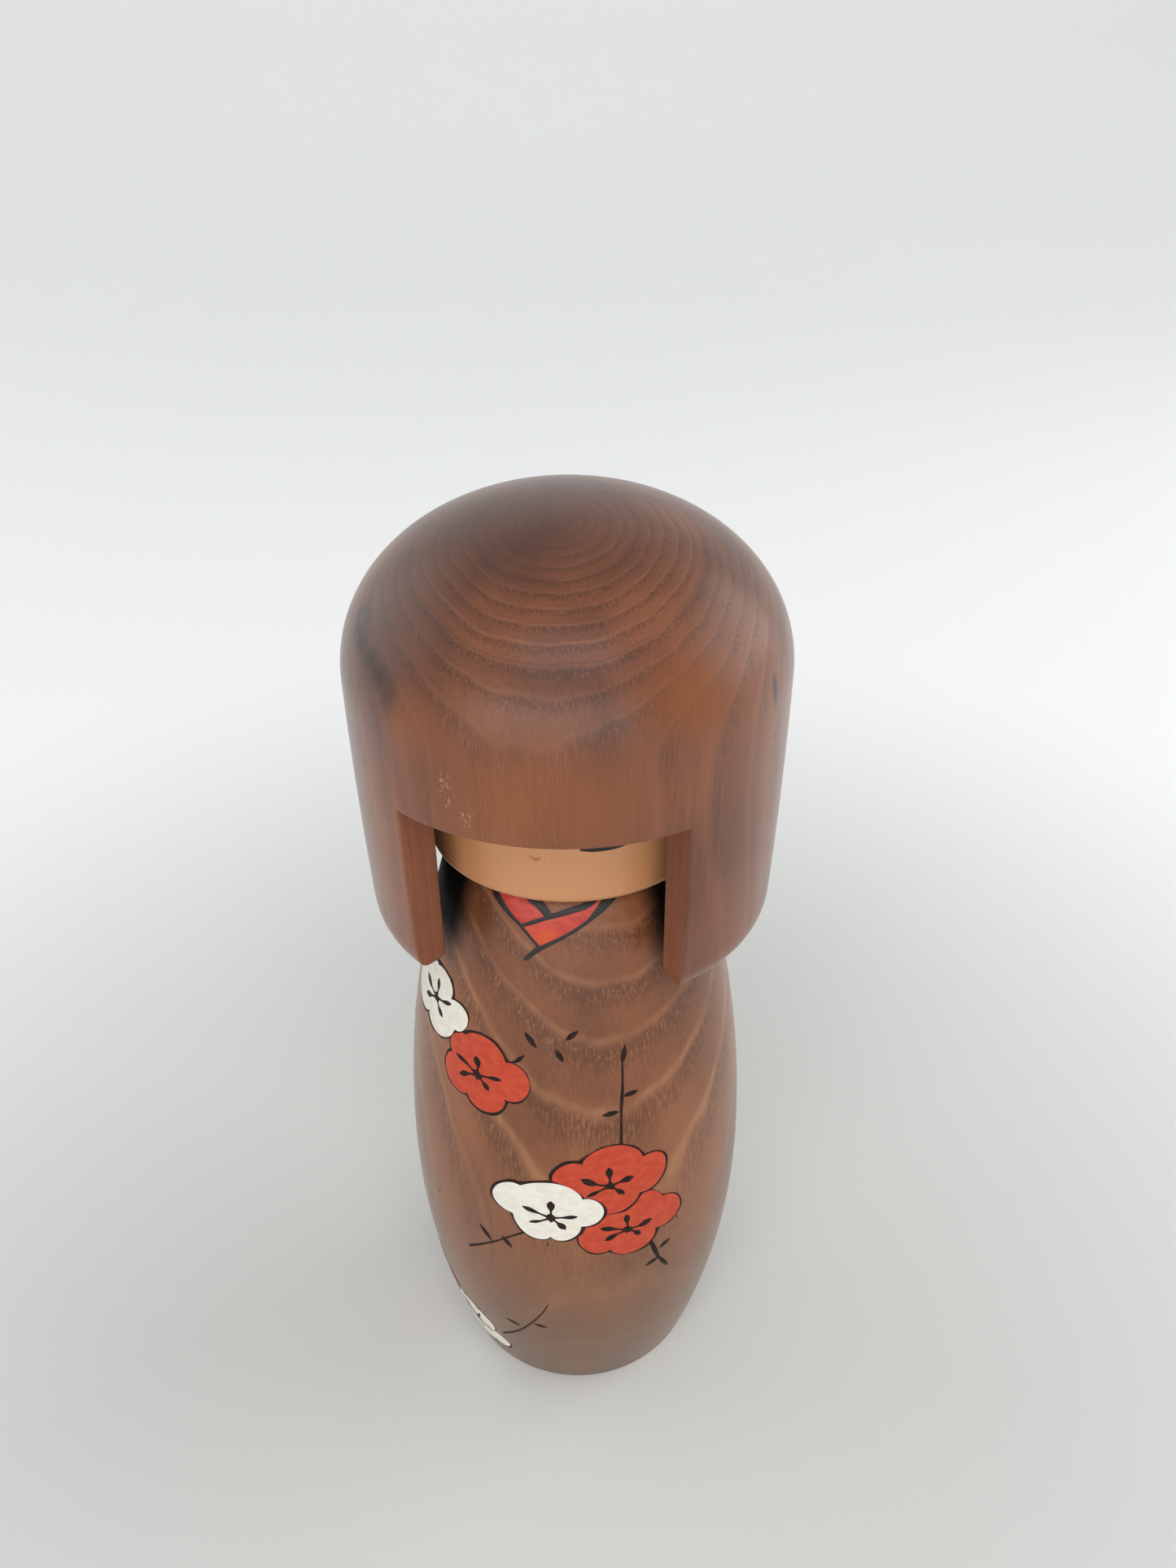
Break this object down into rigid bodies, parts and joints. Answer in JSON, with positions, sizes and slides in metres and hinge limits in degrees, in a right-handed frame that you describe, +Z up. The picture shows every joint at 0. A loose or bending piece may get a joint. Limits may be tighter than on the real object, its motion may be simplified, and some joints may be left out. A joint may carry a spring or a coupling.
{
  "type": "kokeshi doll",
  "caption": "Turned wooden kokeshi doll: barrel body, round head inside a thick open-fronted hood of hair, turning on a hidden neck peg.",
  "frame": {"origin": "centre of the base, on the surface the doll stands on", "axes": "+Z up along the turning axis; the face looks along -Y"},
  "size_m": [0.1, 0.1, 0.2553],
  "materials": {
    "brown_lacquered_wood": "satin clear lacquer over brown ring-grained wood",
    "hood_lacquered_wood": "satin clear lacquer over brown ring-grained wood",
    "pale_face_wood": "satin clear lacquer over pale wood",
    "dowel_wood": "bare pale hardwood"
  },
  "bodies": {
    "body": {"body": "brown_lacquered_wood"},
    "head": {"head": "pale_face_wood", "hair_hood": "hood_lacquered_wood", "neck_peg": "dowel_wood"}
  },
  "joints": [
    {"name": "head_turn", "type": "hinge", "parent": "body", "child": "head", "pos_m": [0, 0, 0.1728], "axis": [0, 0, 1], "continuous": true}
  ]
}
